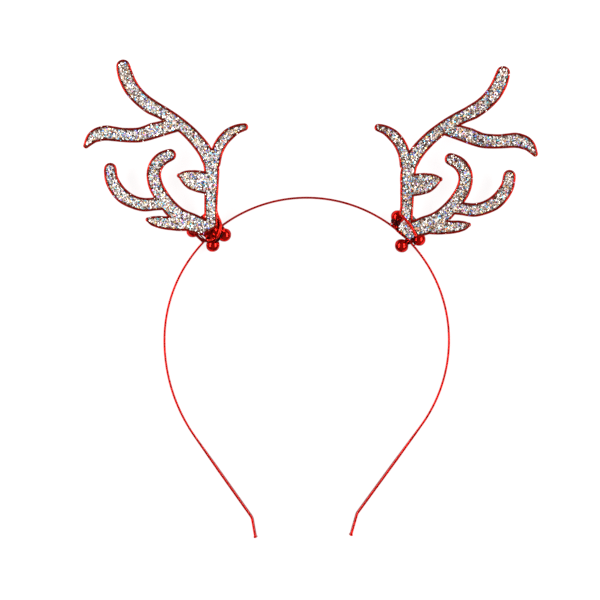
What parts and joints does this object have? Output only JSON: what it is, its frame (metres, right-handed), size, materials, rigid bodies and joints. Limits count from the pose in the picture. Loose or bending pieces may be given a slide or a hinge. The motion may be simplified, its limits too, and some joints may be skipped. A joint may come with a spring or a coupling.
{
  "type": "reindeer antler headband",
  "caption": "Slim lacquered steel headband with flat glittered antlers and small round bells, lying on its back.",
  "frame": {"origin": "middle of the ground that the object covers when it lies on its back", "axes": "+Y from the tips of the band to the antlers, +Z out of the face that is seen from the front, X across the head"},
  "size_m": [0.2008, 0.2104, 0.0091],
  "materials": {
    "band_lacquer": "glossy metallic red lacquer on spring steel",
    "antler_lacquer": "glossy metallic red coating on moulded plastic",
    "silver_glitter": "coarse silver glitter with coloured flashes",
    "wrap_strip": "dark red backing cloth of the glitter strip",
    "bell_lacquer": "glossy metallic red lacquer"
  },
  "bodies": {
    "root": {"headband": "band_lacquer", "antler_left": "antler_lacquer", "antler_right": "antler_lacquer", "glitter_left": "silver_glitter", "glitter_right": "silver_glitter", "wrap_left": "wrap_strip", "wrap_right": "silver_glitter", "bell_left_1": "bell_lacquer", "bell_left_2": "bell_lacquer", "bell_left_3": "bell_lacquer", "bell_right_1": "bell_lacquer", "bell_right_2": "bell_lacquer", "bell_right_3": "bell_lacquer"}
  },
  "joints": []
}
